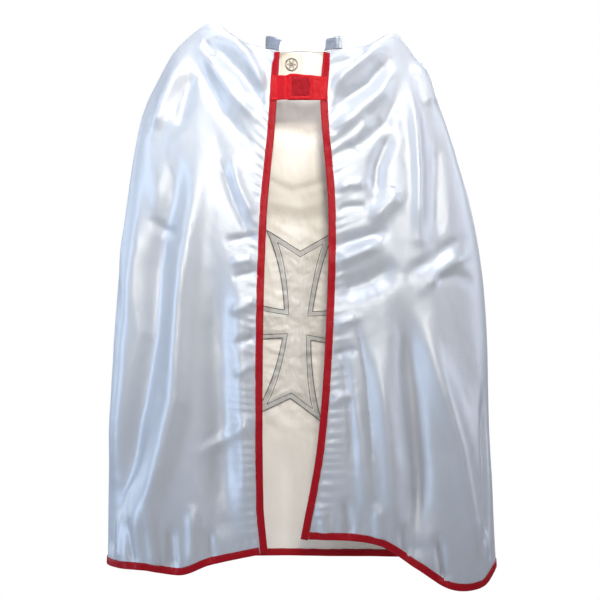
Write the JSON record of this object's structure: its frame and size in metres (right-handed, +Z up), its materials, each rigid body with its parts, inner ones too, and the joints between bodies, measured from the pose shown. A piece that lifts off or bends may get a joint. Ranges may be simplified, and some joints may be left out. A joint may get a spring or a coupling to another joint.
{
  "type": "costume cape",
  "caption": "Child's open-fronted costume cape in bound satin, with a standing neckband, a hook-and-loop neck closure and a stitched cross on the back.",
  "frame": {"origin": "centre of the neck opening, at the height where the neckband is sewn to the fronts", "axes": "+Z up the wearer's body, +X to the right as seen from the front, -Y the way the wearer faces"},
  "size_m": [0.5402, 0.1268, 0.7707],
  "materials": {
    "satin": "smooth white polyester satin with a soft sheen",
    "red_binding": "red satin bias tape, slightly puckered",
    "red_satin": "doubled red satin",
    "hook_tape": "red hook tape",
    "loop_tape": "red brushed loop tape",
    "label_cotton": "cream woven label",
    "cross_lining": "ivory satin, stitched down",
    "cross_satin": "red satin",
    "silver_thread": "close silver-grey machine embroidery"
  },
  "bodies": {
    "cape": {"front_left_side": "satin", "front_right_side": "satin", "back_panel": "satin", "neckband": "satin", "edge_binding_left_upper": "red_binding", "edge_binding_right_upper": "red_binding", "hem_binding_left_side": "red_binding", "hem_binding_right_side": "red_binding", "hem_binding_back": "red_binding", "closure_tab_left_end": "red_satin", "closure_tab_right_end": "red_satin", "neck_label": "label_cotton", "cross_backing": "cross_lining", "cross_applique": "cross_satin", "cross_border": "silver_thread"},
    "left_flap": {"front_left_flap": "satin", "edge_binding_left_lower": "red_binding", "hem_binding_left_front": "red_binding"},
    "right_flap": {"front_right_flap": "satin", "edge_binding_right_lower": "red_binding", "hem_binding_right_front": "red_binding"},
    "left_tab": {"closure_tab_left": "red_satin", "hook_square": "hook_tape"},
    "right_tab": {"closure_tab_right": "red_satin", "loop_square": "loop_tape"}
  },
  "joints": [
    {"name": "left_front_swing", "type": "hinge", "parent": "cape", "child": "left_flap", "pos_m": [-0.03529, -0.0497, -0.105], "axis": [-0.2516, -0.0276, -0.9674], "range_deg": [0, 40]},
    {"name": "right_front_swing", "type": "hinge", "parent": "cape", "child": "right_flap", "pos_m": [0.03079, -0.0497, -0.105], "axis": [-0.2584, 0.0276, 0.9656], "range_deg": [0, 40]},
    {"name": "left_tab_open", "type": "hinge", "parent": "cape", "child": "left_tab", "pos_m": [-0.01997, -0.05529, -0.049], "axis": [0, 0, -1], "range_deg": [0, 150]},
    {"name": "right_tab_open", "type": "hinge", "parent": "cape", "child": "right_tab", "pos_m": [0.02624, -0.04889, -0.049], "axis": [0, 0, -1], "range_deg": [0, 60]}
  ]
}
